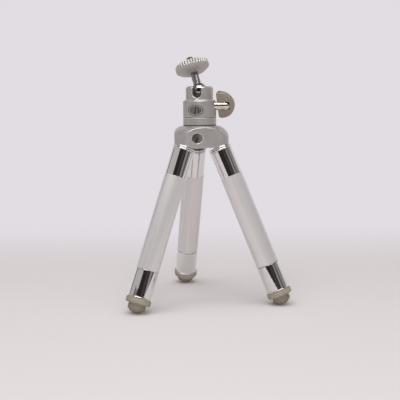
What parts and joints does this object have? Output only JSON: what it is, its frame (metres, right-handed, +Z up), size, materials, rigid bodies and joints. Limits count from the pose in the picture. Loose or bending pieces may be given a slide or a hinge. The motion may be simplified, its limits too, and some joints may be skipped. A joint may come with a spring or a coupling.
{
  "type": "camera tripod",
  "caption": "Pocket camera tripod: telescopic legs hinged on a cast hub, ball head with a half-moon clamp wing, tilted stem, ribbed lock disc and camera stud.",
  "frame": {"origin": "on the floor, under the vertical axis of the hub and head", "axes": "+Z up along the hub's axis; +Y points over the rear leg; the other legs stand at 210 and 330 degrees"},
  "size_m": [0.1394, 0.1236, 0.2079],
  "materials": {
    "painted": "satin silver-grey paint over a casting",
    "badge": "dull dark print",
    "steel": "turned steel",
    "tube": "polished ends and a satin length",
    "bright": "polished",
    "guide": "turned",
    "plug": "turned",
    "rubber": "matt beige rubber",
    "wing": "moulded, slightly glossy",
    "nylon": "natural"
  },
  "bodies": {
    "hub": {"hub_crown": "painted", "hinge_screws": "steel", "hinge_shims": "nylon", "head_washer": "steel", "head_screw": "steel", "head_base": "painted", "ball_housing": "painted", "badge": "badge"},
    "left_leg": {"left_leg_head": "bright", "left_outer_tube": "tube"},
    "left_second": {"left_second_tube": "bright", "left_second_bush": "guide"},
    "left_third": {"left_third_tube": "bright", "left_third_bush": "guide"},
    "left_fourth": {"left_fourth_tube": "bright", "left_fourth_bush": "guide", "left_end_plug": "plug", "left_grip_sleeve": "bright", "left_foot": "rubber"},
    "right_leg": {"right_leg_head": "bright", "right_outer_tube": "tube"},
    "right_second": {"right_second_tube": "bright", "right_second_bush": "guide"},
    "right_third": {"right_third_tube": "bright", "right_third_bush": "guide"},
    "right_fourth": {"right_fourth_tube": "bright", "right_fourth_bush": "guide", "right_end_plug": "plug", "right_grip_sleeve": "bright", "right_foot": "rubber"},
    "rear_leg": {"rear_leg_head": "bright", "rear_outer_tube": "tube"},
    "rear_second": {"rear_second_tube": "bright", "rear_second_bush": "guide"},
    "rear_third": {"rear_third_tube": "bright", "rear_third_bush": "guide"},
    "rear_fourth": {"rear_fourth_tube": "bright", "rear_fourth_bush": "guide", "rear_end_plug": "plug", "rear_grip_sleeve": "bright", "rear_foot": "rubber"},
    "ball_cup": {"ball_cup": "nylon"},
    "ball": {"pivot_ball": "bright", "camera_stem": "bright"},
    "lock_disc": {"lock_disc": "painted"},
    "thrust_pin": {"thrust_pin": "steel"},
    "clamp": {"clamp_screw": "bright", "clamp_knob": "wing", "knob_pin": "steel"},
    "lift_wedge": {"lift_wedge": "guide", "cup_spring": "steel"}
  },
  "joints": [
    {"name": "left_leg_hinge", "type": "hinge", "parent": "hub", "child": "left_leg", "pos_m": [-0.0123, -0.0071, 0.13987], "axis": [0.5, -0.866, 0], "range_deg": [0, 22.8]},
    {"name": "left_second_slide", "type": "slide", "parent": "left_leg", "child": "left_second", "axis": [-0.3356, -0.1938, -0.9219], "range_m": [0, 0.074]},
    {"name": "left_third_slide", "type": "slide", "parent": "left_second", "child": "left_third", "axis": [-0.3356, -0.1938, -0.9219], "range_m": [0, 0.074]},
    {"name": "left_fourth_slide", "type": "slide", "parent": "left_third", "child": "left_fourth", "axis": [-0.3356, -0.1938, -0.9219], "range_m": [0, 0.074]},
    {"name": "right_leg_hinge", "type": "hinge", "parent": "hub", "child": "right_leg", "pos_m": [0.0123, -0.0071, 0.13987], "axis": [0.5, 0.866, 0], "range_deg": [0, 22.8]},
    {"name": "right_second_slide", "type": "slide", "parent": "right_leg", "child": "right_second", "axis": [0.3356, -0.1938, -0.9219], "range_m": [0, 0.074]},
    {"name": "right_third_slide", "type": "slide", "parent": "right_second", "child": "right_third", "axis": [0.3356, -0.1938, -0.9219], "range_m": [0, 0.074]},
    {"name": "right_fourth_slide", "type": "slide", "parent": "right_third", "child": "right_fourth", "axis": [0.3356, -0.1938, -0.9219], "range_m": [0, 0.074]},
    {"name": "rear_leg_hinge", "type": "hinge", "parent": "hub", "child": "rear_leg", "pos_m": [0, 0.0142, 0.13987], "axis": [-1, 0, 0], "range_deg": [0, 22.8]},
    {"name": "rear_second_slide", "type": "slide", "parent": "rear_leg", "child": "rear_second", "axis": [0, 0.3875, -0.9219], "range_m": [0, 0.074]},
    {"name": "rear_third_slide", "type": "slide", "parent": "rear_second", "child": "rear_third", "axis": [0, 0.3875, -0.9219], "range_m": [0, 0.074]},
    {"name": "rear_fourth_slide", "type": "slide", "parent": "rear_third", "child": "rear_fourth", "axis": [0, 0.3875, -0.9219], "range_m": [0, 0.074]},
    {"name": "ball_pan", "type": "hinge", "parent": "hub", "child": "ball_cup", "pos_m": [0, 0, 0.17907], "axis": [0, 0, 1], "continuous": true},
    {"name": "ball_tilt", "type": "hinge", "parent": "ball_cup", "child": "ball", "pos_m": [0, 0, 0.17907], "axis": [-0.8829, -0.4695, 0], "range_deg": [-52.4, 3.6]},
    {"name": "disc_turn", "type": "hinge", "parent": "ball", "child": "lock_disc", "pos_m": [-0.00388, 0.0073, 0.19729], "axis": [-0.1939, 0.3647, 0.9107], "continuous": true},
    {"name": "pin_slide", "type": "slide", "parent": "hub", "child": "thrust_pin", "axis": [0.8988, -0.4384, 0], "range_m": [0, 0.0005]},
    {"name": "knob_turn", "type": "hinge", "parent": "thrust_pin", "child": "clamp", "pos_m": [0.01798, -0.00877, 0.16642], "axis": [0.8988, -0.4384, 0], "range_deg": [0, 190]},
    {"name": "wedge_slide", "type": "slide", "parent": "hub", "child": "lift_wedge", "axis": [0, 0, 1], "range_m": [-0.00055, 0]}
  ],
  "couplings": [
    {"joint": "knob_turn", "follows": "pin_slide", "rad_per_m": 6283.2},
    {"joint": "wedge_slide", "follows": "pin_slide", "ratio": -1}
  ]
}
